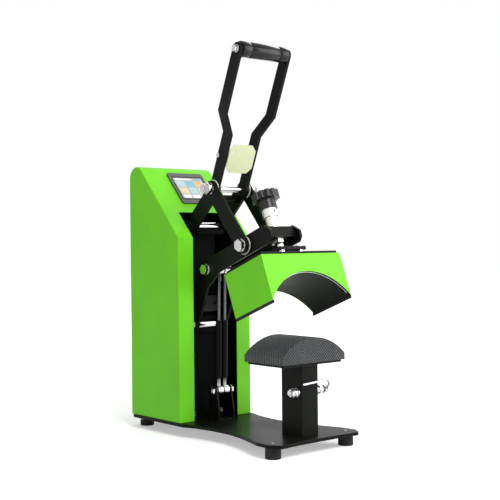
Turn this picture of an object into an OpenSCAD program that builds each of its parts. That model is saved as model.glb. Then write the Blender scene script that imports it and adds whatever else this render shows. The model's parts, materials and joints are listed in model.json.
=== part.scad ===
/* [Base and feet] */
// Thickness of the base plate
base_t = 6; // [4:0.5:8]
// Height of a rubber foot
foot_h = 20; // [12:1:26]
// Diameter of a rubber foot
foot_d = 27; // [22:1:30]
// Length of the base plate, front to back
base_len = 456; // [450:1:470]
// Half width of the base plate at the front lobes
base_lobe = 104; // [100:1:110]
// Half width of the base plate at its waist
base_waist = 72; // [66:1:76]

/* [Housing] */
// Width of the sheet metal housing
house_w = 173; // [165:1:180]
// Depth of the housing
house_d = 156; // [150:1:162]
// Height of the upright front face above the base plate
house_front_h = 343; // [330:1:350]
// Angle of the sloping top above level
slope_a = 48; // [44:1:52]
// Radius of the bend at the top
top_r = 22; // [14:1:26]
// Sheet thickness
sheet = 1.5; // [1:0.1:2]
// Width of the slot that the arms work in
slot_w = 104; // [100:1:110]
// Length of the slot up the slope
slot_up = 65; // [55:1:70]

/* [Control panel] */
// Width of the screen bezel
bezel_w = 86; // [76:1:88]
// Length of the screen bezel up the slope
bezel_l = 82; // [70:1:84]
// Height of the bezel above the sheet
bezel_t = 3; // [2:0.5:5]
// Sideways place of the bezel centre
bezel_x = 12; // [0:1:14]
// Distance of the bezel from the fold
bezel_up = 87; // [86:1:90]

/* [Column] */
// Width of the column tube
col_w = 60; // [50:1:60]
// Depth of the column tube
col_d = 40; // [34:1:44]
// Wall of the column tube
col_wall = 3; // [2:0.5:4]
// Thickness of the foot plate and the cap block of the column
col_plate = 6; // [5:0.5:8]

/* [Toggle linkage] */
// Height of the handle pivot
a_z = 390; // [384:1:394]
// Depth place of the handle pivot
a_y = 83; // [81:1:85]
// Height of the toggle joint, handle up
p1_z = 458; // [455:1:460]
// Depth place of the toggle joint, handle up
p1_y = 12.5; // [10:0.5:14]
// Height of the lower link pivot, handle up
p2_z = 354; // [352:1:356]
// Depth place of the lower link pivot, handle up
p2_y = -74.5; // [-76:0.5:-73]
// Height of the arm pivot
r_z = 204; // [202:1:206]
// Depth place of the arm pivot
r_y = 80; // [78:1:82]
// Tilt of the raised arm
arm_tilt = 21; // [20:0.5:22]
// Width of the links and of the crank ends
link_w = 30; // [26:1:32]
// Thickness of the outer links
link_t = 5; // [4:0.5:6]
// Diameter of the toggle shaft
toggle_d = 12; // [10:0.5:13]
// Diameter of the handle and arm shafts
shaft_d = 10; // [8:0.5:11]
// Outer diameter of the bearing tubes
bearing_d = 16; // [14.5:0.5:18]

/* [Handle] */
// Thickness of the lever bars
lever_t = 6; // [5:0.5:7]
// Width of the lever bars
lever_w = 23; // [20:1:26]
// Forward lean of the raised handle
lever_lean = 22; // [20:1:24]
// Length from the toggle joint to the grip
lever_len = 260; // [245:1:265]
// Place where the bars start to spread
jog_low = 107; // [100:1:112]
// Place where the bars are fully spread
jog_high = 145; // [138:1:152]
// Outward shift of the bars at the grip
jog_out = 23; // [16:1:26]
// Diameter of the grip
grip_d = 28.5; // [26:0.5:32]
// Width of the badge plate
badge_w = 62; // [52:1:62]
// Height of the badge plate
badge_h = 54; // [44:1:58]

/* [Arms and pressure screw] */
// Thickness of the arm plates
arm_t = 5; // [4:0.5:6]
// Height of the arm plates
arm_h = 34; // [30:1:36]
// Reach of the arm plates past the pressure screw
arm_nose = 28; // [24:1:32]
// Diameter of the pressure screw
screw_d = 12; // [10:0.5:13]
// Distance of the pressure screw in front of the arm pivot
screw_out = 243; // [241:1:245]
// Diameter of the lobed knob
knob_d = 51; // [44:1:54]
// Number of lobes on the knob
knob_lobes = 12; // [7:1:12]

/* [Heated platen] */
// Width of the platen cover
platen_w = 185; // [175:1:190]
// Depth of the platen cover, front to back
platen_d = 103; // [95:1:106]
// Height of the platen cover
platen_h = 81.5; // [76:0.5:84]
// Height of the cover's lower edge, arm level
platen_z = 155; // [154:0.5:158]
// Radius of the heated arch
arch_r = 113; // [112:0.5:114]
// Height of the arch's centre, arm level
arch_z = 90; // [89:0.5:91]

/* [Lower form] */
// Width of the lower form
form_w = 150; // [130:1:156]
// Depth of the lower form
form_d = 98; // [88:1:100]
// Radius of the pad's top
pad_r = 106.5; // [104:0.5:107]
// Thickness of the pad
pad_t = 6; // [4:0.5:8]
// Width of the square post
post_w = 41; // [36:1:46]
// Depth of the post, front to back
post_d = 51; // [44:1:54]
// Height of the post above the base plate
post_h = 123; // [118:1:124]

/* [Gas springs] */
// Diameter of a gas spring cylinder
gas_d = 12; // [10:0.5:12]
// Diameter of a gas spring rod
rod_d = 6; // [5:0.5:8]
// Height of the lower gas spring axle
gas_z = 81; // [76:1:90]
// Depth place of the lower gas spring axle
gas_y = 41; // [38:1:46]
// Length of a gas spring cylinder
gas_len = 108; // [96:1:112]

/* [Fits] */
// Radial play of a turning shaft
run_gap = 0.05; // [0.02:0.01:0.1]
// Side play between moving plates
side_gap = 0.5; // [0.3:0.1:0.8]
// Play round a bolt
bolt_gap = 0.25; // [0.15:0.05:0.4]

/* [Hidden] */
$fn = 64;
// What the round ends of flat bars stand out, so that outlines cross and do not just touch
hair = 0.04;
plate_z0 = foot_h;
deck = foot_h + base_t;
base_f = -base_len / 2;
base_b = base_len / 2;
house_f = 56;
house_b = house_f + house_d;
fold_z = deck + house_front_h;
top_cy = house_b - top_r;
top_cz = fold_z + (top_cy - house_f - top_r * sin(slope_a)) * tan(slope_a) - top_r * cos(slope_a);
house_top = top_cz + top_r;
rear_vents = 9;
channel_half = slot_w / 2 + 0.4;
channel_t = 1.2;
channel_b = house_f + 88.5;
col_f = r_y + bearing_d / 2;
col_b = col_f + col_d;
col_top = a_z - bearing_d / 2 + 3;
bearing_half = col_w / 2 - 1;
lever_in = col_w / 2 + 1;
lever_out = lever_in + lever_t;
slip_t = 1.5;
slip_d = link_w + 4;
link_in = lever_out + side_gap + slip_t;
link_out = link_in + link_t;
arm_in = lever_in + (lever_t - arm_t) / 2;
arm_out = arm_in + arm_t;
grip_half = lever_in + jog_out;
nut_t = 8;
washer_t = 1.6;
screw_y = r_y - screw_out;
arm_z = 286.5;
heel_y = 1;
arm_f = screw_y - arm_nose;
cross_d = 34;
cross_z0 = 281;
cross_z1 = 300;
bush_d = 23;
bush_h = 23;
collar_d = 27;
collar_h = 15;
hub_d = 32;
hub_h = 18;
ring_h = 14;
screw_end = 260.5;
platen_f = screw_y - platen_d / 2 + 1.5;
platen_b = platen_f + platen_d;
platen_top = platen_z + platen_h;
cover_t = 2;
top_plate_t = 5;
stud_h = 9;
carrier_t = 6;
carrier_z = platen_top + top_plate_t + stud_h;
socket_h = 14;
stud_x = 22;
stud_y = 27;
form_z = deck + post_h + 4;
form_y = screw_y;
post_y = form_y - 11.5;
clamp_z = 102.5;
clamp_y = post_y - post_d / 2 + 10;
clamp_d = 8;
clamp_reach = 47;
gas_x = 7;
heel_rest_y = r_y + (heel_y - r_y) * cos(arm_tilt) + (arm_z - r_z) * sin(arm_tilt);
heel_rest_z = r_z - (heel_y - r_y) * sin(arm_tilt) + (arm_z - r_z) * cos(arm_tilt);
gas_lean = atan2(gas_y - heel_rest_y, heel_rest_z - gas_z);
gas_reach = norm([heel_rest_y - gas_y, heel_rest_z - gas_z]);
axle_d = 8;
badge_up = 63;
rear_foot_x = 52;
front_foot_x = 86;
front_foot_y = base_f + 28;
rear_foot_y = base_b - 18;

// A cylinder along X from x0 to x1 at depth y and height z
module rod_x(x0, x1, d, y, z) {
    translate([x0, y, z]) rotate([0, 90, 0]) cylinder(h = x1 - x0, d = d);
}

// A hexagon nut or bolt head along X, measured across its flats
module hex_x(x0, x1, flats, y, z) {
    translate([x0, y, z]) rotate([0, 90, 0]) cylinder(h = x1 - x0, d = flats / cos(30), $fn = 6);
}

// A flat bar outline with round ends between two points of the side view, the ends a hair wider than the bar
module bar_2d(p, q, w) {
    d = q - p;
    translate(p) circle(d = w + hair);
    translate(q) circle(d = w + hair);
    translate(p) rotate(atan2(d[1], d[0])) translate([0, -w / 2]) square([norm(d), w]);
}

// A side view outline (depth, height) made into a plate from x0 to x1
module plate_x(x0, x1) {
    translate([x0, 0, 0]) rotate([90, 0, 90]) linear_extrude(height = x1 - x0) children();
}

module both_sides() {
    children();
    mirror([1, 0, 0]) children();
}

// Places children with their origin at the fold, Y up the slope and Z out of it
module on_slope() {
    translate([0, house_f, fold_z]) rotate([slope_a, 0, 0]) children();
}

// The same place in the side view
function on_slope_2d(up, out) = [house_f + up * cos(slope_a) - out * sin(slope_a),
    fold_z + up * sin(slope_a) + out * cos(slope_a)];

// Places children with Z along the raised handle from the toggle joint
module on_lever() {
    translate([0, p1_y, p1_z]) rotate([lever_lean, 0, 0]) children();
}

// Turns what is drawn with the arm level up to its raised place
module raised() {
    translate([0, r_y, r_z]) rotate([-arm_tilt, 0, 0]) translate([0, -r_y, -r_z]) children();
}

module rounded_square(w, h, r) {
    translate([-w / 2 + r, -h / 2]) square([w - 2 * r, h]);
    translate([-w / 2, -h / 2 + r]) square([w, h - 2 * r]);
    for (x = [-1, 1], y = [-1, 1]) translate([x * (w / 2 - r), y * (h / 2 - r)]) circle(r = r);
}

function foot_places() = [[-rear_foot_x, rear_foot_y], [rear_foot_x, rear_foot_y],
    [-front_foot_x, front_foot_y], [front_foot_x, front_foot_y]];

module base_outline() {
    half = [[0, base_f + 5], [base_lobe * 0.45, base_f + 4], [base_lobe - 12, base_f],
        [base_lobe, base_f + 22], [base_lobe - 2, base_f + 52], [base_lobe - 12, base_f + 80],
        [base_waist + 8, base_f + 118], [base_waist, base_f + 160], [base_waist, base_f + 205],
        [base_waist + 6, house_f - 35], [house_w / 2 + 1, house_f - 8], [house_w / 2 + 1, base_b - 22],
        [rear_foot_x + 18, base_b], [0, base_b]];
    offset(r = 10, $fn = 48) offset(delta = -10) offset(r = -14, $fn = 48) offset(delta = 14)
        polygon(concat(half, [for (i = [len(half) - 2 : -1 : 1]) [-half[i][0], half[i][1]]]));
}

module base_plate() color([0.07, 0.07, 0.08]) difference() {
    translate([0, 0, plate_z0]) linear_extrude(height = base_t) base_outline();
    for (p = foot_places()) translate([p[0], p[1], plate_z0 - 1]) cylinder(h = base_t + 2, d = 5 + 0.02);
    for (p = column_places()) translate([p[0], p[1], plate_z0 - 1])
        cylinder(h = base_t + 2, d = 8 + 2 * bolt_gap);
    for (p = house_places()) translate([p[0], p[1], plate_z0 - 1])
        cylinder(h = base_t + 2, d = 4 + 2 * bolt_gap);
}

module rubber_feet() color([0.05, 0.05, 0.05]) for (p = foot_places()) translate([p[0], p[1], 0])
    difference() {
        rotate_extrude() union() {
            square([foot_d / 2 - 1.5, foot_h]);
            translate([0, 1.5]) square([foot_d / 2, foot_h - 1.5]);
            translate([foot_d / 2 - 1.5, 1.5]) circle(r = 1.5);
        }
        translate([0, 0, -1]) cylinder(h = foot_h / 2 + 1, d = 12);
        translate([0, 0, -1]) cylinder(h = foot_h + 2, d = 5 + 2 * bolt_gap);
    }

module foot_screws() color([0.75, 0.75, 0.77]) for (p = foot_places()) translate([p[0], p[1], 0]) {
    translate([0, 0, foot_h / 2 - 3]) cylinder(h = 3, d = 10);
    translate([0, 0, foot_h / 2 - 0.5]) cylinder(h = foot_h / 2 + base_t + 0.5, d = 5);
}

function column_places() = [for (x = [-1, 1], y = [0, 1])
    [x * (col_w / 2 + 8), col_f - 6 + y * (col_d + 12)]];

module column() color([0.08, 0.08, 0.09]) difference() {
    union() {
        translate([0, (col_f + col_b) / 2, deck]) linear_extrude(height = col_plate)
            rounded_square(col_w + 32, col_d + 28, 6);
        translate([0, (col_f + col_b) / 2, deck]) linear_extrude(height = col_top - deck)
            rounded_square(col_w, col_d, 6);
        translate([-col_w / 2, a_y - bearing_d, col_top - 10]) cube([col_w, bearing_d + 6, 10]);
        translate([-col_w / 2, r_y, r_z - bearing_d]) cube([col_w, bearing_d / 2 + 2, 2 * bearing_d]);
    }
    translate([0, (col_f + col_b) / 2, deck - 1]) linear_extrude(height = col_top - deck - 9)
        rounded_square(col_w - 2 * col_wall, col_d - 2 * col_wall, 3);
    rod_x(-col_w, col_w, bearing_d, a_y, a_z);
    rod_x(-col_w, col_w, bearing_d, r_y, r_z);
    for (p = column_places()) translate([p[0], p[1], deck - 1])
        cylinder(h = col_plate + 2, d = 8 + 2 * bolt_gap);
}

module column_bolts() color([0.72, 0.72, 0.74]) for (p = column_places()) translate([p[0], p[1], 0]) {
    translate([0, 0, deck + col_plate]) cylinder(h = washer_t, d = 16);
    translate([0, 0, deck + col_plate + washer_t]) cylinder(h = 5.5, d = 13 / cos(30), $fn = 6);
    translate([0, 0, plate_z0 - 6.5]) cylinder(h = 6.5, d = 13 / cos(30), $fn = 6);
    translate([0, 0, plate_z0 - 1]) cylinder(h = base_t + col_plate + 3, d = 8);
}

module bearing_tube(y, z) difference() {
    rod_x(-bearing_half, bearing_half, bearing_d, y, z);
    rod_x(-bearing_half - 1, bearing_half + 1, shaft_d + 2 * run_gap, y, z);
}

module handle_bearing() color([0.85, 0.85, 0.87]) bearing_tube(a_y, a_z);

module arm_bearing() color([0.85, 0.85, 0.87]) bearing_tube(r_y, r_z);

// Rubber-faced block on the column that the arm leg's spreader stops against
module stop_block() color([0.1, 0.1, 0.1]) translate([-20, col_f - 14, r_z + 24]) difference() {
    cube([40, 14, 30]);
    for (x = [8, 32]) translate([x, -1, 15]) rotate([-90, 0, 0]) cylinder(h = 5, d = 7);
}

// Side outline of the housing, drawn in by the given amount
module house_side(inset, floor_z) {
    s = sin(slope_a);
    c = cos(slope_a);
    r = top_r - inset;
    on_bend = [top_cy - r * s, top_cz + r * c];
    back = house_b - inset;
    polygon([[house_f + inset, floor_z], [house_f + inset, fold_z - inset * (1 - s) / c], on_bend,
        [top_cy, top_cz], [back, top_cz], [back, floor_z]]);
    intersection() {
        translate([top_cy, top_cz]) circle(r = r);
        polygon([[top_cy, top_cz], on_bend, [top_cy - 2 * r * s, top_cz + 2 * r * c],
            [top_cy + 2 * r, top_cz + 2 * r], [top_cy + 2 * r, top_cz], [back, top_cz]]);
    }
}

function house_places() = [for (x = [-1, 1], y = [0.15, 0.85])
    [x * (house_w / 2 - 8), house_f + y * house_d]];
inlet_x = -40;
inlet_z = deck + 45;
switch_x = 20;
inlet_w = 27;
inlet_h = 20;
switch_w = 13;
switch_h = 19;

module housing_shell() color([0.42, 0.76, 0.13]) difference() {
    union() {
        difference() {
            plate_x(-house_w / 2, house_w / 2) house_side(0, deck);
            plate_x(-house_w / 2 + sheet, house_w / 2 - sheet) house_side(sheet, deck - 1);
        }
        both_sides() translate([house_w / 2 - 14, house_f + 2, deck])
            cube([14 - sheet / 2, house_d - 4, sheet]);
    }
    plate_x(-slot_w / 2, slot_w / 2) polygon([[house_f - 6, deck - 1], [house_f + 6, deck - 1],
        [house_f + 6, fold_z - 4], on_slope_2d(slot_up, -6), on_slope_2d(slot_up, 6), [house_f - 6, fold_z + 3]]);
    on_slope() translate([bezel_x, bezel_up + bezel_l / 2, -3 * sheet]) linear_extrude(height = 5 * sheet)
        rounded_square(bezel_w - 12, bezel_l - 12, 3);
    translate([inlet_x - inlet_w / 2, house_b - 3 * sheet, inlet_z - inlet_h / 2])
        cube([inlet_w, 5 * sheet, inlet_h]);
    translate([switch_x - switch_w / 2, house_b - 3 * sheet, inlet_z - switch_h / 2])
        cube([switch_w, 5 * sheet, switch_h]);
    for (i = [0 : rear_vents - 1]) translate([-45, house_b - 3 * sheet, fold_z - 110 + i * 14])
        cube([90, 5 * sheet, 4]);
    for (p = house_places()) translate([p[0], p[1], deck - 1])
        cylinder(h = sheet + 2, d = 4 + 2 * bolt_gap);
}

// Black sheet channel that closes the slot off from the inside of the housing
module slot_channel() color([0.06, 0.06, 0.065]) difference() {
    top = on_slope_2d(slot_up - 1, -sheet);
    plate_x(-channel_half - channel_t, channel_half + channel_t)
        polygon([[house_f + sheet, deck], [house_f + sheet, fold_z - sheet * (1 - sin(slope_a)) / cos(slope_a)],
            top, [channel_b, top[1]], [channel_b, deck]]);
    translate([-channel_half, house_f - 5, deck - 1])
        cube([2 * channel_half, channel_b - channel_t - house_f + 5, top[1] - channel_t - deck + 1]);
}

module housing_screws() color([0.7, 0.7, 0.72]) for (p = house_places()) translate([p[0], p[1], 0]) {
    translate([0, 0, plate_z0 - 2.4]) cylinder(h = 2.4, d = 8);
    translate([0, 0, plate_z0 - 1]) cylinder(h = base_t + sheet + 4, d = 4);
    translate([0, 0, deck + sheet]) cylinder(h = 3, d = 7 / cos(30), $fn = 6);
}

module screen_bezel() color([0.16, 0.17, 0.18]) on_slope()
    translate([bezel_x, bezel_up + bezel_l / 2, 0]) difference() {
        union() {
            linear_extrude(height = bezel_t) rounded_square(bezel_w, bezel_l, 5);
            translate([0, 0, -8]) linear_extrude(height = 8 + bezel_t / 2)
                rounded_square(bezel_w - 13, bezel_l - 13, 2);
        }
        translate([0, 0, bezel_t - 1.5]) linear_extrude(height = 3)
            rounded_square(bezel_w - 10, bezel_l - 20, 2);
        translate([0, 0, -9]) linear_extrude(height = 7) rounded_square(bezel_w - 18, bezel_l - 18, 1);
    }

module screen_panel() color([0.3, 0.5, 0.7]) on_slope()
    translate([bezel_x, bezel_up + bezel_l / 2, bezel_t - 1.5]) linear_extrude(height = 1.2)
        rounded_square(bezel_w - 10.6, bezel_l - 20.6, 1.8);

// Display board and its parts, screwed to the back of the bezel through four spacers
board_z = -22;

module controller_board() color([0.1, 0.35, 0.2]) on_slope()
    translate([bezel_x, bezel_up + bezel_l / 2, board_z]) {
        translate([-bezel_w / 2 + 10, -bezel_l / 2 + 10, 0]) cube([bezel_w - 20, bezel_l - 20, 1.6]);
        translate([-14, -10, 1.5]) cube([28, 20, 3]);
        translate([-26, 16, -9.9]) cube([40, 10, 10]);
        for (x = [-24, -12, 12, 24]) translate([x, -18, -8]) cylinder(h = 8.1, d = 7);
    }

module board_spacers() color([0.75, 0.65, 0.3]) on_slope()
    translate([bezel_x, bezel_up + bezel_l / 2, board_z + 1.6])
        for (x = [-1, 1], y = [-1, 1])
            translate([x * (bezel_w / 2 - 14), y * (bezel_l / 2 - 14), 0])
                cylinder(h = -board_z - 1.6 - 2, d = 6, $fn = 6);

module power_inlet() color([0.06, 0.06, 0.06]) translate([inlet_x, house_b, inlet_z]) difference() {
    union() {
        translate([-25, 0, -11.5]) cube([50, 2.5, 23]);
        translate([-inlet_w / 2 + 0.3, -20, -inlet_h / 2 + 0.3]) cube([inlet_w - 0.6, 21, inlet_h - 0.6]);
        for (x = [-7, 0, 7]) translate([x - 1, -28, -3]) cube([2, 9, 6]);
    }
    translate([-11, -14, -7.5]) cube([22, 18, 15]);
    for (x = [-20, 20]) translate([x, -1, 0]) rotate([-90, 0, 0]) cylinder(h = 5, d = 3.4);
}

module switch_frame() color([0.07, 0.07, 0.07]) translate([switch_x, house_b, inlet_z]) difference() {
    union() {
        translate([-switch_w / 2 - 1.5, 0, -switch_h / 2 - 1.5]) cube([switch_w + 3, 2, switch_h + 3]);
        translate([-switch_w / 2 + 0.3, -16, -switch_h / 2 + 0.3]) cube([switch_w - 0.6, 17, switch_h - 0.6]);
    }
    difference() {
        translate([-switch_w / 2 + 1.5, -9, -switch_h / 2 + 1.5]) cube([switch_w - 3, 12, switch_h - 3]);
        rod_x(-switch_w, switch_w, 2, -2.5, 0);
    }
}

// Rocker with two pressed faces, bored for the cross pin of the frame
module switch_rocker() color([0.7, 0.08, 0.06]) translate([switch_x, house_b - 2.5, inlet_z]) difference() {
    plate_x(-switch_w / 2 + 1.8, switch_w / 2 - 1.8)
        polygon([[-4, -2.5], [2.4, -switch_h / 2 + 2.6], [4.6, -switch_h / 2 + 2.6], [3.4, 0],
            [3.4, switch_h / 2 - 2.6], [1.2, switch_h / 2 - 2.6], [-4, 2.5]]);
    rod_x(-switch_w, switch_w, 2 + 2 * run_gap, 0, 0);
}

module solid_state_relay() color([0.15, 0.15, 0.16]) translate([-62, 146, deck]) {
    difference() {
        cube([45, 58, 23]);
        for (y = [-1, 50]) translate([13, y, 14]) cube([19, 9, 10]);
    }
    for (x = [6, 39], y = [5, 53]) translate([x, y, 22.9]) cylinder(h = 2, d = 7);
}

module power_board() color([0.12, 0.3, 0.18]) translate([14, 146, deck]) {
    for (x = [4, 50], y = [4, 54]) translate([x, y, 0]) cylinder(h = 8.1, d = 5);
    translate([0, 0, 8]) cube([54, 58, 1.6]);
    translate([6, 8, 9.5]) cube([26, 30, 22]);
    translate([38, 10, 9.5]) cylinder(h = 16, d = 10);
    translate([38, 26, 9.5]) cylinder(h = 16, d = 10);
    translate([8, 44, 9.5]) cube([34, 10, 11]);
}

// Shaft through a bearing tube with a washer and a nut outside each lever or arm
module cross_shaft(y, z, out) {
    rod_x(-out - washer_t - nut_t, out + washer_t + nut_t, shaft_d, y, z);
    both_sides() rod_x(out + 0.1, out + washer_t + 0.1, shaft_d * 2, y, z);
    both_sides() hex_x(out + washer_t, out + washer_t + nut_t - 1.5, shaft_d * 1.6, y, z);
}

module handle_shaft() color([0.8, 0.8, 0.82]) cross_shaft(a_y, a_z, lever_out);

module arm_shaft() color([0.8, 0.8, 0.82]) cross_shaft(r_y, r_z, arm_out);

// Flat bar lever: crank from the handle pivot to the toggle joint, then a spread bar to the grip
module lever() difference() {
    intersection() {
        plate_x(lever_in, lever_out + jog_out) {
            bar_2d([a_y, a_z], [p1_y, p1_z], link_w);
            bar_2d([p1_y, p1_z], [p1_y - lever_len * sin(lever_lean), p1_z + lever_len * cos(lever_lean)], lever_w);
        }
        on_lever() translate([0, 200, 0]) rotate([90, 0, 0]) linear_extrude(height = 400)
            polygon([[lever_in, -200], [lever_out, -200], [lever_out, jog_low], [lever_out + jog_out, jog_high],
                [lever_out + jog_out, lever_len + 60], [lever_in + jog_out, lever_len + 60],
                [lever_in + jog_out, jog_high], [lever_in, jog_low]]);
    }
    rod_x(0, lever_out + 1, shaft_d + 2 * bolt_gap, a_y, a_z);
    rod_x(0, lever_out + 1, toggle_d + 0.02, p1_y, p1_z);
    on_lever() rod_x(0, grip_half + lever_t + 1, 8 + 2 * bolt_gap, 0, lever_len);
    on_lever() rod_x(0, lever_out + 1, 5 + 2 * bolt_gap, badge_back, badge_up);
}
badge_back = 6;
badge_t = 1.6;

module lever_left() color([0.05, 0.05, 0.05]) mirror([1, 0, 0]) lever();

module lever_right() color([0.05, 0.05, 0.05]) lever();

module grip() color([0.04, 0.04, 0.04]) on_lever() translate([0, 0, lever_len]) rotate([0, 90, 0])
    difference() {
        union() {
            translate([0, 0, -grip_half + 0.3]) cylinder(h = 2 * grip_half - 0.6, d = grip_d - 3);
            translate([0, 0, -grip_half + 0.3]) cylinder(h = 10, d = grip_d);
            translate([0, 0, grip_half - 10.3]) cylinder(h = 10, d = grip_d);
            translate([0, 0, -grip_half + 12.5]) cylinder(h = 2 * grip_half - 25, d = grip_d);
        }
        translate([0, 0, -grip_half - 1]) cylinder(h = 2 * grip_half + 2, d = grip_core_d);
    }
grip_core_d = 16;

// Tie rod through the grip, with its washers and nuts outside the levers
module grip_rod() color([0.85, 0.85, 0.87]) on_lever() {
    rod_x(-grip_half, grip_half, grip_core_d, 0, lever_len);
    both_sides() {
        rod_x(grip_half - 1, grip_half + lever_t + 0.5, 8, 0, lever_len);
        rod_x(grip_half + lever_t, grip_half + lever_t + washer_t, 14, 0, lever_len);
        hex_x(grip_half + lever_t + washer_t - 0.1, grip_half + lever_t + washer_t + 5.3, 11, 0, lever_len);
    }
}

// Black tube that holds the two cranks apart just below the toggle shaft
spacer_k = 0.24;

module lever_spacer() color([0.06, 0.06, 0.06])
    rod_x(-lever_in, lever_in, 13, p1_y + (a_y - p1_y) * spacer_k, p1_z + (a_z - p1_z) * spacer_k);

module toggle_shaft() color([0.88, 0.88, 0.9]) {
    rod_x(-link_out - washer_t - 18, link_out + washer_t + 18, toggle_d, p1_y, p1_z);
    both_sides() {
        rod_x(link_out + 0.2, link_out + washer_t + 0.2, toggle_d * 1.75, p1_y, p1_z);
        hex_x(link_out + washer_t, link_out + washer_t + 8, 19, p1_y, p1_z);
        rod_x(link_out + washer_t + 7.9, link_out + washer_t + 9.5, toggle_d * 1.6, p1_y, p1_z);
        hex_x(link_out + washer_t + 9.4, link_out + washer_t + 16.5, 17, p1_y, p1_z);
    }
}

// Bare octagonal plate at the front edge of the levers, with two folded tabs screwed to them
module badge_plate() color([0.8, 0.79, 0.74]) on_lever() translate([0, -lever_w / 2, badge_up]) difference() {
    union() {
        rotate([90, 0, 0]) linear_extrude(height = badge_t) intersection() {
            square([badge_w - 0.4, badge_h], center = true);
            rotate(45) square([badge_w * 1.08, badge_w * 1.08], center = true);
        }
        both_sides() translate([lever_in - badge_t - 0.2, -badge_t, -9])
            cube([badge_t, lever_w / 2 + badge_back + 6 + badge_t, 18]);
    }
    both_sides() rod_x(lever_in - 4, lever_in + 1, 5 + 2 * bolt_gap, lever_w / 2 + badge_back, 0);
    translate([-badge_w * 0.27, 0, badge_h * 0.22]) rotate([90, 0, 0]) cylinder(h = 6, d = 4, center = true);
}

module badge_screws() color([0.85, 0.85, 0.86]) on_lever() translate([0, badge_back, badge_up]) both_sides() {
    rod_x(lever_in - 6, lever_out + 0.5, 5, 0, 0);
    rod_x(lever_out, lever_out + 4, 8.5, 0, 0);
    hex_x(lever_in - 5.8, lever_in - badge_t - 0.2, 8, 0, 0);
}

module link() difference() {
    plate_x(link_in, link_out) bar_2d([p1_y, p1_z], [p2_y, p2_z], link_w);
    rod_x(0, link_out + 1, toggle_d + 2 * run_gap, p1_y, p1_z);
    rod_x(0, link_out + 1, 12 + 0.02, p2_y, p2_z);
}

module link_left() color([0.07, 0.07, 0.08]) mirror([1, 0, 0]) link();

module link_right() color([0.07, 0.07, 0.08]) link();

// Pale plastic washers that keep the links off the levers and the arms
module slip_washers() color([0.88, 0.87, 0.8]) both_sides() difference() {
    for (p = [[p1_y, p1_z], [p2_y, p2_z]]) rod_x(link_in - slip_t, link_in, slip_d, p[0], p[1]);
    rod_x(0, link_out, toggle_d + 2 * run_gap, p1_y, p1_z);
    rod_x(0, link_out, 12 + 0.02, p2_y, p2_z);
}

module link_bolts() color([0.82, 0.82, 0.84]) both_sides() {
    rod_x(link_in - slip_t, link_out + 1, 12, p2_y, p2_z);
    rod_x(link_out, link_out + washer_t, 23, p2_y, p2_z);
    hex_x(link_out + washer_t - 0.1, link_out + washer_t + 7.5, 19, p2_y, p2_z);
}

// Angled arm plate: level bar to the pressure screw and a leg down to the arm pivot
module arm() raised() difference() {
    plate_x(arm_in, arm_out) {
        bar_2d([heel_y, arm_z], [r_y, r_z], link_w);
        translate([heel_y, arm_z]) circle(d = arm_h + hair);
        polygon([[heel_y, arm_z + arm_h / 2], [arm_f + 14, arm_z + arm_h / 2],
            [arm_f, arm_z + arm_h / 2 - 14], [arm_f, arm_z - arm_h / 2 + 8],
            [arm_f + 8, arm_z - arm_h / 2], [heel_y - 32, arm_z - arm_h / 2],
            [heel_y + 19, arm_z - arm_h / 2 - 19], [heel_y + 4, arm_z - 6]]);
    }
    rod_x(0, arm_out + 1, shaft_d + 2 * bolt_gap, r_y, r_z);
    rod_x(0, arm_out + 1, shaft_d + 0.02, heel_y, arm_z);
    for (s = [-1, 1]) rod_x(0, arm_out + 1, 6 + 2 * bolt_gap, screw_y + s * 10, (cross_z0 + cross_z1) / 2);
}

module arm_left() color([0.07, 0.07, 0.08]) mirror([1, 0, 0]) arm();

module arm_right() color([0.07, 0.07, 0.08]) arm();

// Solid bar between the arm noses that the pressure screw passes through
module cross_bar() color([0.1, 0.1, 0.11]) raised() {
    difference() {
        translate([-arm_in, screw_y - cross_d / 2, cross_z0]) cube([2 * arm_in, cross_d, cross_z1 - cross_z0]);
        translate([0, screw_y, cross_z0 - 1]) cylinder(h = cross_z1, d = screw_d + 4);
    }
    both_sides() for (s = [-1, 1])
        rod_x(arm_in - 1, arm_out, 6, screw_y + s * 10, (cross_z0 + cross_z1) / 2);
}

module gas_spring_axle() color([0.82, 0.82, 0.84]) raised() {
    rod_x(-arm_out - 1, arm_out + 1, shaft_d, heel_y, arm_z);
    both_sides() {
        rod_x(arm_out, arm_out + washer_t, 20, heel_y, arm_z);
        hex_x(arm_out + washer_t - 0.1, arm_out + washer_t + 7, 17, heel_y, arm_z);
    }
}

// Places children at the lower gas spring axle with Z towards the arm heel
module on_gas() {
    translate([0, gas_y, gas_z]) rotate([gas_lean, 0, 0]) children();
}

gas_foot = 24;
eye_gap = 1.2;

// Slim rods with an open eye round the upper axle
module gas_spring_rods() color([0.8, 0.8, 0.82]) on_gas() for (x = [-gas_x, gas_x]) {
    translate([x, 0, gas_foot + gas_len - 40]) cylinder(h = gas_reach - gas_foot - gas_len + 28, d = rod_d);
    translate([x, 0, gas_reach - 22]) cylinder(h = 14, d = rod_d + 4);
    difference() {
        rod_x(x - 5.5, x + 5.5, shaft_d + 10, 0, gas_reach);
        rod_x(x - 6, x + 6, shaft_d + 2 * eye_gap, 0, gas_reach);
    }
}

module gas_spring_cylinders() color([0.13, 0.13, 0.14]) on_gas() for (x = [-gas_x, gas_x]) {
    difference() {
        translate([x, 0, gas_foot]) cylinder(h = gas_len, d = gas_d);
        translate([x, 0, gas_foot + 5]) cylinder(h = gas_len, d = rod_d + 0.4);
    }
    translate([x, 0, gas_foot - 15]) cylinder(h = 15.1, d = gas_d - 3);
    difference() {
        rod_x(x - 5.5, x + 5.5, axle_d + 12, 0, 0);
        rod_x(x - 6, x + 6, axle_d + 2 * run_gap, 0, 0);
    }
}

bracket_x = 16;

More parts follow.
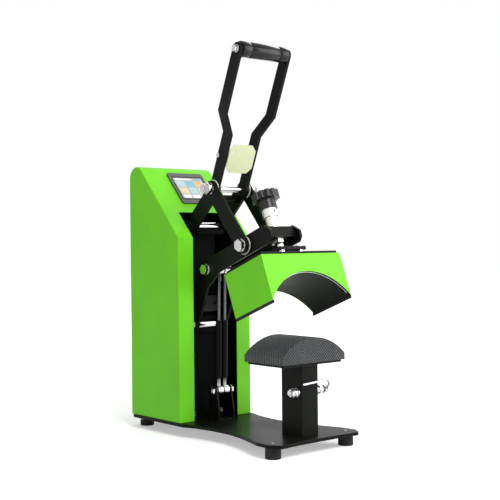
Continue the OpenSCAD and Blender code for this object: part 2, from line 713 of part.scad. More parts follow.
// Folded bracket on the base plate that carries the lower axle
module lower_axle_bracket() color([0.09, 0.09, 0.1]) difference() {
    union() {
        translate([-bracket_x - 3, gas_y - 16, deck]) cube([2 * bracket_x + 6, 32, 4]);
        both_sides() plate_x(bracket_x, bracket_x + 3) {
            translate([gas_y - 16, deck]) square([32, 20]);
            polygon([[gas_y - 16, deck + 19.9], [gas_y - 9, gas_z], [gas_y + 9, gas_z], [gas_y + 16, deck + 19.9]]);
            translate([gas_y, gas_z]) circle(d = 18);
        }
    }
    rod_x(-bracket_x - 5, bracket_x + 5, axle_d + 0.02, gas_y, gas_z);
}

module lower_axle() color([0.86, 0.86, 0.88]) {
    rod_x(-bracket_x - 10, bracket_x + 10, axle_d, gas_y, gas_z);
    both_sides() hex_x(bracket_x + 3, bracket_x + 9, 13, gas_y, gas_z);
    both_sides() rod_x(gas_x + 5.8, bracket_x - 0.2, axle_d + 5, gas_y, gas_z);
}

bush_top = cross_z1 + bush_h;
collar_top = bush_top + 0.3 + collar_h;
hub_top = collar_top + hub_h;
knob_top = hub_top + ring_h;

module screw_bush() color([0.7, 0.7, 0.72]) raised() translate([0, screw_y, 0]) difference() {
    union() {
        translate([0, 0, cross_z0 - 6]) cylinder(h = bush_h + cross_z1 - cross_z0 + 6, d = screw_d + 4);
        translate([0, 0, cross_z1]) cylinder(h = bush_h, d = bush_d);
        translate([0, 0, cross_z0 - 7]) cylinder(h = 7, d = bush_d, $fn = 6);
    }
    translate([0, 0, cross_z0 - 8]) cylinder(h = bush_h + 60, d = screw_d + 2 * run_gap);
}

module pressure_screw() color([0.78, 0.78, 0.8]) raised() translate([0, screw_y, screw_end]) {
    cylinder(h = collar_top + hub_h - screw_end - 2, d = screw_d);
}

module screw_collar() color([0.75, 0.75, 0.77]) raised() translate([0, screw_y, bush_top + 0.3]) difference() {
    cylinder(h = collar_h, d = collar_d);
    translate([0, 0, -1]) cylinder(h = collar_h + 2, d = screw_d + 0.02);
    translate([0, 0, collar_h / 2]) rotate([90, 0, 0]) cylinder(h = collar_d, d = 4);
}

module pressure_knob() color([0.04, 0.04, 0.04]) raised() translate([0, screw_y, collar_top]) difference() {
    union() {
        cylinder(h = hub_h + 1, d = hub_d);
        translate([0, 0, hub_h]) linear_extrude(height = ring_h) {
            circle(d = knob_d - 7);
            for (i = [0 : knob_lobes - 1]) rotate(i * 360 / knob_lobes)
                translate([knob_d / 2 - 5, 0]) circle(d = 10);
        }
    }
    translate([0, 0, -1]) cylinder(h = hub_h - 1, d = screw_d + 0.02);
    translate([0, 0, hub_h + ring_h - 3]) cylinder(h = 4, d = knob_d - 17);
}

module carrier_plate() color([0.1, 0.1, 0.11]) raised() translate([0, screw_y, carrier_z]) difference() {
    union() {
        translate([-stud_x - 9, -stud_y - 7, 0]) cube([2 * stud_x + 18, 2 * stud_y + 14, carrier_t]);
        cylinder(h = carrier_t + socket_h, d = screw_d + 9);
    }
    translate([0, 0, screw_end - carrier_z - 0.3]) cylinder(h = 60, d = screw_d + 0.4);
    for (x = [-1, 1], y = [-1, 1]) translate([x * stud_x, y * stud_y, -1])
        cylinder(h = carrier_t + 2, d = 6 + 2 * bolt_gap);
}

module platen_studs() color([0.85, 0.85, 0.86]) raised() for (x = [-1, 1], y = [-1, 1])
    translate([x * stud_x, screw_y + y * stud_y, 0]) {
        translate([0, 0, platen_top - 4]) cylinder(h = top_plate_t + stud_h + carrier_t + 10, d = 6);
        translate([0, 0, platen_top + top_plate_t]) cylinder(h = stud_h, d = 12);
        translate([0, 0, carrier_z + carrier_t]) cylinder(h = 5, d = 10 / cos(30), $fn = 6);
    }

module platen_top_plate() color([0.06, 0.06, 0.06]) raised() difference() {
    translate([0, (platen_f + platen_b) / 2, platen_top]) linear_extrude(height = top_plate_t)
        rounded_square(platen_w - 5, platen_d - 4, 3);
    for (x = [-1, 1], y = [-1, 1]) translate([x * stud_x, screw_y + y * stud_y, platen_top - 1])
        cylinder(h = top_plate_t + 2, d = 6 + 2 * bolt_gap);
}

// Space under the arch, seen from the front
module arch_cut(r, y0, y1) {
    translate([0, y1, arch_z]) rotate([90, 0, 0]) cylinder(h = y1 - y0, r = r, $fn = 128);
}

module platen_cover() color([0.42, 0.76, 0.13]) raised() difference() {
    translate([-platen_w / 2, platen_f, platen_z]) cube([platen_w, platen_d, platen_h]);
    translate([-platen_w / 2 + cover_t, platen_f + cover_t, platen_z - 1])
        cube([platen_w - 2 * cover_t, platen_d - 2 * cover_t, platen_h + 1 - cover_t]);
    arch_cut(arch_r + 1, platen_f - 1, platen_b + 1);
    for (x = [-1, 1], y = [-1, 1]) translate([x * stud_x, screw_y + y * stud_y, platen_top - cover_t - 1])
        cylinder(h = cover_t + 2, d = 6 + 2 * bolt_gap);
}

heat_in = 2.2;

module insulation() color([0.85, 0.83, 0.75]) raised() difference() {
    translate([-platen_w / 2 + cover_t + 0.2, platen_f + cover_t + 0.2, platen_z - 3])
        cube([platen_w - 2 * cover_t - 0.4, platen_d - 2 * cover_t - 0.4, platen_h - cover_t + 3 - 20]);
    translate([-platen_w / 2 + cover_t + heat_in, platen_f + cover_t + heat_in, platen_z - 4])
        cube([platen_w - 2 * cover_t - 2 * heat_in, platen_d - 2 * cover_t - 2 * heat_in, platen_h]);
    arch_cut(arch_r + 1, platen_f - 1, platen_b + 1);
}

// Curved aluminium block, with a channel in its back for the tubular heater
heat_top = 211;

module heating_block() color([0.75, 0.75, 0.77]) raised() difference() {
    translate([-platen_w / 2 + cover_t + heat_in, platen_f + cover_t + heat_in, platen_z - 3])
        cube([platen_w - 2 * cover_t - 2 * heat_in, platen_d - 2 * cover_t - 2 * heat_in, heat_top - platen_z + 3]);
    arch_cut(arch_r, platen_f - 1, platen_b + 1);
}

module heating_element() color([0.55, 0.5, 0.45]) raised() translate([0, (platen_f + platen_b) / 2, heat_top]) {
    for (s = [-1, 1]) translate([-55, s * 22, 4]) rotate([0, 90, 0]) cylinder(h = 110, d = 8);
    translate([-55, 0, 4]) rotate([0, 0, 90]) rotate_extrude(angle = 180) translate([22, 0]) circle(d = 8);
    for (s = [-1, 1]) translate([55, s * 22, 4]) rotate([0, 90, 0]) cylinder(h = 12, d = 5);
}

module form_post() color([0.06, 0.06, 0.06]) difference() {
    translate([0, post_y, deck]) linear_extrude(height = post_h) rounded_square(post_w, post_d, 3);
    translate([0, post_y, deck - 1]) linear_extrude(height = post_h + 2)
        rounded_square(post_w - 6, post_d - 6, 1);
    rod_x(-post_w, post_w, clamp_d + 2 * bolt_gap, clamp_y, clamp_z);
}

module form_plate() color([0.08, 0.08, 0.08]) translate([0, form_y, deck + post_h])
    linear_extrude(height = 4) rounded_square(form_w - 10, form_d - 8, 3);

// Arched aluminium core that the pad is moulded round
module form_segment(r, w, d) intersection() {
    arch_cut(r, form_y - d / 2, form_y + d / 2);
    translate([-w / 2, form_y - d, form_z]) cube([w, 2 * d, pad_r]);
}

module lower_form() color([0.6, 0.6, 0.62]) form_segment(pad_r - pad_t, form_w - 2 * pad_t, form_d - 2 * pad_t);

module form_pad() color([0.3, 0.3, 0.31]) difference() {
    form_segment(pad_r, form_w, form_d);
    form_segment(pad_r - pad_t, form_w - 2 * pad_t, form_d - 2 * pad_t);
}

module clamp_shaft() color([0.75, 0.75, 0.77]) rod_x(-post_w / 2 - 19, clamp_reach + 5, clamp_d, clamp_y, clamp_z);

// Washers and nuts that lock the cross shaft on the post, and the end nut of the bail
module clamp_nuts() color([0.82, 0.82, 0.84]) difference() {
    union() {
        both_sides() {
            rod_x(post_w / 2, post_w / 2 + 2, 15, clamp_y, clamp_z);
            hex_x(post_w / 2 + 2, post_w / 2 + 8, 12, clamp_y, clamp_z);
            rod_x(post_w / 2 + 8, post_w / 2 + 10, 15, clamp_y, clamp_z);
            hex_x(post_w / 2 + 10, post_w / 2 + 16, 12, clamp_y, clamp_z);
        }
        rod_x(clamp_reach + 0.4, clamp_reach + 3.4, clamp_d + 3, clamp_y, clamp_z);
    }
    rod_x(-2 * post_w, 2 * post_w, clamp_d + 0.02, clamp_y, clamp_z);
}

bail_d = 4.5;
bail_y = post_y - post_d / 2 - 3.5;
bail_rise = 17;

module wire(p, q) {
    hull() for (c = [p, q]) translate(c) sphere(d = bail_d, $fn = 16);
}

// Bent wire lever that turns on the cross shaft in front of the post
module clamp_bail() color([0.85, 0.85, 0.87]) {
    x0 = clamp_reach - 3;
    z1 = clamp_z + bail_rise;
    difference() {
        rod_x(clamp_reach - 6, clamp_reach, clamp_d + 6, clamp_y, clamp_z);
        rod_x(0, 2 * clamp_reach, clamp_d + 2 * run_gap, clamp_y, clamp_z);
    }
    wire([x0, clamp_y - 7, clamp_z + 2], [x0, bail_y, z1 - 6]);
    wire([x0, bail_y, z1 - 6], [x0 - 5, bail_y, z1 + 1]);
    wire([x0 - 5, bail_y, z1 + 1], [-post_w / 2 + 3, bail_y, z1 - 3]);
}

base_plate();
rubber_feet();
foot_screws();
housing_shell();
slot_channel();
housing_screws();
screen_bezel();
screen_panel();
controller_board();
board_spacers();
power_inlet();
switch_frame();
switch_rocker();
solid_state_relay();
power_board();
column();
column_bolts();
handle_bearing();
arm_bearing();
stop_block();
handle_shaft();
arm_shaft();
lever_left();
lever_right();
grip();
grip_rod();
lever_spacer();
toggle_shaft();
badge_plate();
badge_screws();
link_left();
link_right();
slip_washers();
link_bolts();
arm_left();
arm_right();
cross_bar();
gas_spring_axle();
gas_spring_rods();
gas_spring_cylinders();
lower_axle_bracket();
lower_axle();
pressure_knob();
pressure_screw();
screw_collar();
screw_bush();
carrier_plate();
platen_studs();
platen_top_plate();
platen_cover();
insulation();
heating_block();
heating_element();
form_post();
form_plate();
lower_form();
form_pad();
clamp_shaft();
clamp_nuts();
clamp_bail();
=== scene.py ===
"""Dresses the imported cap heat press: finishes, softened edges, small parts, light and camera."""
import json
import math
import bmesh
import bpy
from mathutils import Matrix, Vector


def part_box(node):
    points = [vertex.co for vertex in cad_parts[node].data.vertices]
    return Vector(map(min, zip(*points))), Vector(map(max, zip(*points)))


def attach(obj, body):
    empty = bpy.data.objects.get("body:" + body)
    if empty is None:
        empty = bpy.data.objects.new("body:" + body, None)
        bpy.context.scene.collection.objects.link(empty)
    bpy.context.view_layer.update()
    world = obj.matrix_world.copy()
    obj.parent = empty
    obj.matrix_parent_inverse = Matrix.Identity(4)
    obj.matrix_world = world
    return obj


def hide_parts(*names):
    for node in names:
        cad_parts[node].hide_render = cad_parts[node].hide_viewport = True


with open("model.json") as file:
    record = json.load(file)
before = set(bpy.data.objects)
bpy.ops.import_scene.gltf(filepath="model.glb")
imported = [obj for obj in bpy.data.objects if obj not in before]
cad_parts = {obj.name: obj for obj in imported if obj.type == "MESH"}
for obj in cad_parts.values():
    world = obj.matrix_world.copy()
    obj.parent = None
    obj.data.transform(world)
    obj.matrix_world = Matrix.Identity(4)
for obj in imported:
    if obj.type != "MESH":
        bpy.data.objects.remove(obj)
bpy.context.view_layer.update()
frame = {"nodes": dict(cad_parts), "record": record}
nodes = frame["nodes"]
record = frame["record"]
scene = bpy.context.scene
body_of_node = {n: b for b, names in record["behaviour"]["bodies"].items() for n in names}
slot_of_node = {s["node"]: s["material_slot"] for s in record["subparts"]}
joint = {j["name"]: j for j in record["behaviour"]["joints"]}

# Camera of the photograph: a 75 mm lens in front of the left side, level with the gas springs
LENS = 75.1
SENSOR = 36
CAMERA_AT = Vector((-1.237, -1.487, 0.361))
CAMERA_AZIMUTH = math.radians(-40.645)
CAMERA_ELEVATION = math.radians(0.484)
CAMERA_ROLL = math.radians(-0.552)
CAMERA_REACH = 50

# The raised arms, and the screen's slope with the fold where it leaves the housing's front
ARM_TILT = math.radians(-21)
ARM_PIVOT = Vector(joint["arm_swing"]["pos_m"])
RAISED = Matrix.Translation(ARM_PIVOT) @ Matrix.Rotation(ARM_TILT, 4, "X") @ Matrix.Translation(-ARM_PIVOT)
SCREW_AXIS = (0, -math.sin(ARM_TILT), math.cos(ARM_TILT))
SLOPE = math.radians(48)
FOLD = Vector((0, 0.056, 0.369))

# The lowered platen: height of the arch's axis, radius within which its cover's faces are painted black as
# shade, front and back
ARCH_AXIS = 0.090
ARCH_EDGE = 0.1152
PLATEN_FRONT = -0.213
PLATEN_BACK = -0.110

# The form's pad: width of a raised diamond, its rise, and the thickness of the skin that bears them
RIB = 0.0058
RIB_RISE = 0.0005
RIB_SKIN = 0.0008


def add_camera():
    """Puts the camera where the fit to the photograph found it."""
    back = Vector((math.sin(CAMERA_AZIMUTH) * math.cos(CAMERA_ELEVATION),
                   -math.cos(CAMERA_AZIMUTH) * math.cos(CAMERA_ELEVATION), math.sin(CAMERA_ELEVATION)))
    level = Vector((math.cos(CAMERA_AZIMUTH), math.sin(CAMERA_AZIMUTH), 0))
    rise = back.cross(level)
    right = level * math.cos(CAMERA_ROLL) + rise * math.sin(CAMERA_ROLL)
    up = rise * math.cos(CAMERA_ROLL) - level * math.sin(CAMERA_ROLL)
    data = bpy.data.cameras.new("camera")
    data.lens = LENS
    data.sensor_width = SENSOR
    data.clip_end = CAMERA_REACH
    camera = bpy.data.objects.new("camera", data)
    scene.collection.objects.link(camera)
    camera.matrix_world = Matrix.Translation(CAMERA_AT) @ Matrix((right, up, back)).transposed().to_4x4()
    scene.camera = camera


# Node helpers

def new_group(name, inputs, outputs):
    """An empty shader node group with named sockets: (name, kind, value) in, (name, kind) out."""
    group = bpy.data.node_groups.new(name, "ShaderNodeTree")
    for label, kind, value in inputs:
        socket = group.interface.new_socket(name=label, in_out="INPUT", socket_type="NodeSocket" + kind)
        socket.default_value = value
    for label, kind in outputs:
        group.interface.new_socket(name=label, in_out="OUTPUT", socket_type="NodeSocket" + kind)
    return group, group.nodes.new("NodeGroupInput"), group.nodes.new("NodeGroupOutput")


def add_node(tree, kind, **values):
    """A node of that kind; keys that are sockets set their value, the rest are its settings."""
    node = tree.nodes.new("ShaderNode" + kind)
    for key, value in values.items():
        label = key.replace("_", " ")
        if label in node.inputs:
            node.inputs[label].default_value = value
        else:
            setattr(node, key, value)
    return node


def feed(tree, socket, value):
    """Links an output to a socket, or sets the socket to a plain value."""
    if isinstance(value, bpy.types.NodeSocket):
        tree.links.new(value, socket)
    else:
        socket.default_value = value


def maths(tree, operation, a, b=None, clamp=False):
    """A Math node on two sockets or numbers; returns its result."""
    node = add_node(tree, "Math", operation=operation, use_clamp=clamp)
    feed(tree, node.inputs[0], a)
    if b is not None:
        feed(tree, node.inputs[1], b)
    return node.outputs[0]


def span(tree, value, low, high, to_low, to_high):
    """Maps a value from one range to another, clamped."""
    node = add_node(tree, "MapRange", clamp=True)
    for label, given in (("Value", value), ("From Min", low), ("From Max", high), ("To Min", to_low),
                         ("To Max", to_high)):
        feed(tree, node.inputs[label], given)
    return node.outputs["Result"]


def sway(tree, value, low, high):
    """Maps the middle stretch of a noise value to a range."""
    return span(tree, value, 0.3, 0.7, low, high)


def noise(tree, vector, scale, detail, roughness=0.55):
    """A noise value on a vector at a scale in cycles per metre."""
    node = add_node(tree, "TexNoise", Detail=detail, Roughness=roughness)
    feed(tree, node.inputs["Vector"], vector)
    feed(tree, node.inputs["Scale"], scale)
    return node.outputs["Fac"]


def shade(tree, colour, factor):
    """A colour made lighter or darker by a factor."""
    node = add_node(tree, "VectorMath", operation="SCALE")
    feed(tree, node.inputs[0], colour)
    feed(tree, node.inputs["Scale"], factor)
    return node.outputs[0]


def mix_colour(tree, factor, a, b):
    """Mixes two colours by a mask."""
    node = add_node(tree, "Mix", data_type="RGBA")
    feed(tree, node.inputs["Factor"], factor)
    feed(tree, node.inputs[6], a)
    feed(tree, node.inputs[7], b)
    return node.outputs[2]


def lengths_along(group, given, axis, length):
    """How many lengths along an axis a place lies; both are inputs of the group, given by name."""
    along = add_node(group, "VectorMath", operation="DOT_PRODUCT")
    feed(group, along.inputs[0], given.outputs["Vector"])
    feed(group, along.inputs[1], given.outputs[axis])
    return maths(group, "DIVIDE", along.outputs["Value"], given.outputs[length])


# Shared effects: each works on a place in metres and gives a height, most also a colour and a roughness

PLACE = ("Vector", "Vector", (0, 0, 0))
LOOK = [("Color", "Color"), ("Roughness", "Float"), ("Height", "Float")]


def make_coat_group():
    """Powder coat: fine orange peel, faint cloudiness and spots rubbed down to a bare colour."""
    group, given, out = new_group("powder_coat", [
        PLACE, ("Color", "Color", (0.5, 0.5, 0.5, 1)), ("Peel", "Float", 900.0),
        ("Depth", "Float", 0.2), ("Base Roughness", "Float", 0.35), ("Wear", "Float", 0.3),
        ("Bare", "Color", (0.2, 0.2, 0.2, 1))],
        LOOK)
    link = group.links.new
    place = given.outputs["Vector"]
    peel = noise(group, place, given.outputs["Peel"], 2.0)
    cloud = noise(group, place, 9.0, 4.0)
    scuff = noise(group, place, 55.0, 6.0, 0.7)
    rubbed = maths(group, "MULTIPLY", span(group, scuff, 0.66, 0.78, 0, 1), given.outputs["Wear"])
    tone = shade(group, given.outputs["Color"], sway(group, cloud, 0.94, 1.06))
    link(mix_colour(group, rubbed, tone, given.outputs["Bare"]), out.inputs["Color"])
    worn = maths(group, "ADD", given.outputs["Base Roughness"], sway(group, cloud, -0.04, 0.05))
    link(maths(group, "ADD", worn, maths(group, "MULTIPLY", rubbed, 0.25)), out.inputs["Roughness"])
    link(maths(group, "MULTIPLY", peel, given.outputs["Depth"]), out.inputs["Height"])
    return group


def make_metal_group():
    """Bare or plated metal: grain drawn out along one direction, faint stains and fine scratches."""
    group, given, out = new_group("metal_grain", [
        PLACE, ("Color", "Color", (0.7, 0.7, 0.7, 1)), ("Along", "Vector", (1, 1, 1)),
        ("Base Roughness", "Float", 0.2), ("Grain", "Float", 0.5), ("Stain", "Float", 0.3)],
        LOOK)
    link = group.links.new
    stretch = add_node(group, "VectorMath", operation="MULTIPLY")
    link(given.outputs["Vector"], stretch.inputs[0])
    link(given.outputs["Along"], stretch.inputs[1])
    grain = noise(group, stretch.outputs[0], 1.0, 4.0, 0.65)
    cloud = noise(group, given.outputs["Vector"], 40.0, 5.0, 0.6)
    spots = maths(group, "MULTIPLY", span(group, cloud, 0.55, 0.75, 0, 1), given.outputs["Stain"])
    tone = shade(group, given.outputs["Color"], sway(group, grain, 0.93, 1.05))
    dull = shade(group, given.outputs["Color"], 0.6)
    link(mix_colour(group, spots, tone, dull), out.inputs["Color"])
    lift = maths(group, "MULTIPLY", sway(group, grain, -0.5, 0.5), given.outputs["Grain"])
    rough = maths(group, "ADD", given.outputs["Base Roughness"], maths(group, "MULTIPLY", lift, 0.25))
    link(maths(group, "ADD", rough, maths(group, "MULTIPLY", spots, 0.15), True), out.inputs["Roughness"])
    link(maths(group, "MULTIPLY", grain, given.outputs["Grain"]), out.inputs["Height"])
    return group


def make_mould_group():
    """Moulded plastic or rubber: fine spark grain, soft mottling and pale dust."""
    group, given, out = new_group("moulded", [
        PLACE, ("Color", "Color", (0.1, 0.1, 0.1, 1)), ("Grain", "Float", 1400.0),
        ("Depth", "Float", 0.3), ("Base Roughness", "Float", 0.5), ("Dust", "Float", 0.2)],
        LOOK)
    link = group.links.new
    place = given.outputs["Vector"]
    grain = noise(group, place, given.outputs["Grain"], 2.0, 0.6)
    mottle = noise(group, place, 30.0, 4.0, 0.6)
    dusty = maths(group, "MULTIPLY", span(group, mottle, 0.5, 0.8, 0, 1), given.outputs["Dust"])
    tone = shade(group, given.outputs["Color"], sway(group, mottle, 0.9, 1.1))
    link(mix_colour(group, dusty, tone, (0.3, 0.29, 0.27, 1)), out.inputs["Color"])
    rough = maths(group, "ADD", given.outputs["Base Roughness"], sway(group, mottle, -0.05, 0.06))
    link(maths(group, "ADD", rough, maths(group, "MULTIPLY", dusty, 0.3)), out.inputs["Roughness"])
    link(maths(group, "MULTIPLY", grain, given.outputs["Depth"]), out.inputs["Height"])
    return group


def make_thread_group():
    """Screw thread: a ridge for every pitch along an axis."""
    group, given, out = new_group("thread", [
        PLACE, ("Axis", "Vector", (0, 0, 1)), ("Pitch", "Float", 0.0015)], [("Height", "Float")])
    turns = lengths_along(group, given, "Axis", "Pitch")
    group.links.new(maths(group, "PINGPONG", turns, 0.5), out.inputs["Height"])
    return group


def make_diamond_group():
    """Crossed ribs that leave small raised diamonds, on the two axes given."""
    group, given, out = new_group("diamonds", [
        PLACE, ("First", "Vector", (1, 0, 0)), ("Second", "Vector", (0, 1, 0)), ("Size", "Float", 0.004)],
        [("Height", "Float")])
    first, second = (lengths_along(group, given, axis, "Size") for axis in ("First", "Second"))
    rising = maths(group, "PINGPONG", maths(group, "ADD", first, second), 0.5)
    falling = maths(group, "PINGPONG", maths(group, "SUBTRACT", first, second), 0.5)
    low = maths(group, "MINIMUM", rising, falling)
    group.links.new(span(group, low, 0.04, 0.26, 0, 1), out.inputs["Height"])
    return group


COAT = make_coat_group()
METAL = make_metal_group()
MOULD = make_mould_group()
THREAD = make_thread_group()
DIAMONDS = make_diamond_group()


def use_effect(tree, group, place, settings):
    """A node that runs a shared effect at a place, with its settings by name."""
    effect = tree.nodes.new("ShaderNodeGroup")
    effect.node_tree = group
    for label, value in settings.items():
        effect.inputs[label].default_value = value
    feed(tree, effect.inputs["Vector"], place)
    return effect


def with_thread(axis, pitch):
    """Adds a screw thread to a finish's height."""
    def extra(tree, place, height, colour):
        ridges = use_effect(tree, THREAD, place, {"Axis": axis, "Pitch": pitch}).outputs["Height"]
        return maths(tree, "ADD", maths(tree, "MULTIPLY", ridges, 6.0), height), colour
    return extra


def with_diamonds(tree, place, height, colour):
    """Adds the pad's diamonds, over its top and over its ends, by the way the surface faces, with painted
    shade in the grooves and painted highlights on the raised diamonds.
    """
    split = add_node(tree, "SeparateXYZ")
    feed(tree, split.inputs[0], add_node(tree, "NewGeometry").outputs["Normal"])
    end_on = span(tree, maths(tree, "ABSOLUTE", split.outputs["Y"]), 0.6, 0.62, 0, 1)
    over_top, over_ends = (
        use_effect(tree, DIAMONDS, place, {"Second": second, "Size": RIB}).outputs["Height"]
        for second in ((0, 1, 0), (0, 0, 1)))
    chosen = add_node(tree, "Mix", data_type="FLOAT")
    for i, value in ((0, end_on), (2, over_top), (3, over_ends)):
        feed(tree, chosen.inputs[i], value)
    raised = chosen.outputs[0]
    # The colour is scaled from 0.1 in the grooves to 1.9 on the tips: painted shade and painted highlight.
    return maths(tree, "ADD", raised, height), shade(tree, colour, span(tree, raised, 0.0, 1.0, 0.1, 1.9))


# Finishes: the first ones bear the names of the record's material slots

finishes = {}


def finish(name, group, settings, bump, reach=0.0004, extra=None, **principled):
    """A material whose colour, roughness and bump come from one of the shared effects."""
    material = bpy.data.materials.new(name)
    material.use_nodes = True
    tree = material.node_tree
    shader = tree.nodes["Principled BSDF"]
    for label, value in principled.items():
        shader.inputs[label.replace("_", " ")].default_value = value
    place = add_node(tree, "TexCoord").outputs["Object"]
    effect = use_effect(tree, group, place, settings)
    height, colour = effect.outputs["Height"], effect.outputs["Color"]
    if extra:
        height, colour = extra(tree, place, height, colour)
    dent = add_node(tree, "Bump", Strength=bump, Distance=reach)
    feed(tree, dent.inputs["Height"], height)
    feed(tree, shader.inputs["Normal"], dent.outputs["Normal"])
    feed(tree, shader.inputs["Base Color"], colour)
    feed(tree, shader.inputs["Roughness"], effect.outputs["Roughness"])
    finishes[name] = material


def coated(name, colour, peel, depth, rough, wear, bare, **more):
    """A powder-coated finish."""
    finish(name, COAT, {"Color": (*colour, 1), "Peel": peel, "Depth": depth, "Base Roughness": rough,
                        "Wear": wear, "Bare": (*bare, 1)}, **more)


def metallic(name, colour, along, rough, grain, stain, **more):
    """A bare or plated metal finish."""
    finish(name, METAL, {"Color": (*colour, 1), "Along": along, "Base Roughness": rough, "Grain": grain,
                         "Stain": stain}, **more)


def moulded(name, colour, grain, depth, rough, dust, **more):
    """A plastic or rubber finish."""
    finish(name, MOULD, {"Color": (*colour, 1), "Grain": grain, "Depth": depth, "Base Roughness": rough,
                         "Dust": dust}, **more)


def grain_along(axis, fine=2600.0, coarse=60.0):
    """Stretch factors that draw a grain out along one axis, in cycles per metre."""
    return tuple(coarse if i == "XYZ".index(axis) else fine for i in range(3))


coated("black_paint", (0.0040, 0.0050, 0.0038), peel=1100.0, depth=0.5, rough=0.36, wear=0.06,
       bare=(0.03, 0.03, 0.03), bump=0.25, Specular_IOR_Level=0.07)
coated("green_paint", (0.15, 0.60, 0.014), peel=800.0, depth=0.4, rough=0.38, wear=0.05,
       bare=(0.30, 0.72, 0.10), bump=0.18, Specular_IOR_Level=0.15)
metallic("bright_steel", (0.56, 0.56, 0.565), along=grain_along("X", 300, 900), rough=0.16, grain=0.3,
         stain=0.2, bump=0.03, Metallic=1.0)
metallic("steel", (0.66, 0.65, 0.60), along=(1500, 1500, 4000), rough=0.4, grain=0.6, stain=0.35,
         bump=0.1, Metallic=0.95)
moulded("nylon", (0.70, 0.69, 0.60), grain=1200.0, depth=0.3, rough=0.45, dust=0.1, bump=0.08)
metallic("aluminium", (0.74, 0.74, 0.76), along=grain_along("Y"), rough=0.32, grain=0.5, stain=0.2,
         bump=0.06, Metallic=1.0)
moulded("rubber", (0.010, 0.010, 0.010), grain=900.0, depth=0.5, rough=0.7, dust=0.05, bump=0.15,
        Specular_IOR_Level=0.25)
# Its diamonds carry painted shade in the grooves and painted highlights on the tips.
moulded("silicone", (0.034, 0.038, 0.041), grain=700.0, depth=0.15, rough=0.58, dust=0.1, bump=1.0,
        reach=0.0016, extra=with_diamonds)
moulded("grip_rubber", (0.0050, 0.0062, 0.0055), grain=500.0, depth=0.25, rough=0.15, dust=0.02,
        bump=0.05, Specular_IOR_Level=0.22)
moulded("black_plastic", (0.024, 0.025, 0.027), grain=1500.0, depth=0.4, rough=0.42, dust=0.06, bump=0.1)
moulded("knob_plastic", (0.0095, 0.0100, 0.0092), grain=600.0, depth=0.2, rough=0.28, dust=0.04,
        bump=0.05, Specular_IOR_Level=0.30)
moulded("red_plastic", (0.55, 0.02, 0.015), grain=900.0, depth=0.2, rough=0.3, dust=0.03, bump=0.04)
moulded("board", (0.02, 0.16, 0.06), grain=250.0, depth=0.7, rough=0.4, dust=0.05, bump=0.1)
metallic("brass", (0.72, 0.52, 0.22), along=grain_along("Z"), rough=0.25, grain=0.4, stain=0.2, bump=0.05,
         Metallic=1.0)
metallic("badge_steel", (0.52, 0.55, 0.34), along=grain_along("X", 3200, 70), rough=0.36, grain=0.8,
         stain=0.15, bump=0.12, Metallic=0.35)
moulded("insulation", (0.012, 0.012, 0.011), grain=500.0, depth=1.0, rough=0.8, dust=0.06, bump=0.3,
        reach=0.0008, Specular_IOR_Level=0.3)
metallic("heater", (0.30, 0.25, 0.21), along=grain_along("X"), rough=0.5, grain=0.4, stain=0.6, bump=0.06,
         Metallic=0.8)
moulded("screen", (0.012, 0.013, 0.014), grain=400.0, depth=0.02, rough=0.12, dust=0.02, bump=0.01)

# Second finishes, for parts of nodes and for what a slot's own finish doesn't suit
# A darker, duller copy of the black paint for the column and the slot's lining: painted shade of the slot's
# interior.
coated("slot_shade_black", (0.0028, 0.0034, 0.0031), peel=1000.0, depth=0.5, rough=0.5, wear=0.05,
       bare=(0.02, 0.02, 0.02), bump=0.25, Specular_IOR_Level=0.02)
coated("worn_black_edge", (0.008, 0.009, 0.0078), peel=700.0, depth=0.6, rough=0.40, wear=0.75,
       bare=(0.20, 0.20, 0.19), bump=0.3, Specular_IOR_Level=0.2)
moulded("black_ptfe", (0.012, 0.014, 0.010), grain=500.0, depth=0.3, rough=0.5, dust=0.01, bump=0.05,
        Specular_IOR_Level=0.15)
metallic("bare_edge", (0.86, 0.86, 0.83), along=grain_along("X"), rough=0.45, grain=0.4, stain=0.1,
         bump=0.05, Metallic=0.5)
metallic("dark_steel", (0.10, 0.10, 0.105), along=grain_along("Z"), rough=0.25, grain=0.4, stain=0.2,
         bump=0.05, Metallic=1.0)
moulded("grey_rim", (0.062, 0.060, 0.062), grain=1500.0, depth=0.4, rough=0.4, dust=0.05, bump=0.08)
metallic("threaded_bar", (0.55, 0.55, 0.56), along=(900, 900, 900), rough=0.25, grain=0.3, stain=0.2,
         bump=0.6, reach=0.0005, extra=with_thread((1, 0, 0), 0.0013), Metallic=1.0)
metallic("threaded_steel", (0.62, 0.62, 0.64), along=(900, 900, 900), rough=0.25, grain=0.3, stain=0.2,
         bump=0.7, reach=0.0006, extra=with_thread(SCREW_AXIS, 0.0015), Metallic=1.0)


def paint(piece, material):
    """Gives a piece one material."""
    piece.data.materials.clear()
    piece.data.materials.append(material)


def dress_nodes():
    """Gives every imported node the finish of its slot."""
    for name, node in nodes.items():
        material = finishes[slot_of_node[name]]
        if not node.material_slots:
            node.data.materials.append(material)
        for place in node.material_slots:
            place.material = material


def thread_bars():
    """Lets the pressure screw and the cross shaft of the post show their thread."""
    for name, look in (("pressure_screw", "threaded_steel"), ("clamp_shaft", "threaded_bar")):
        for place in nodes[name].material_slots:
            place.material = finishes[look]


# Softened edges: a copy of the node's own mesh, welded, with its sharp edges rounded by these widths

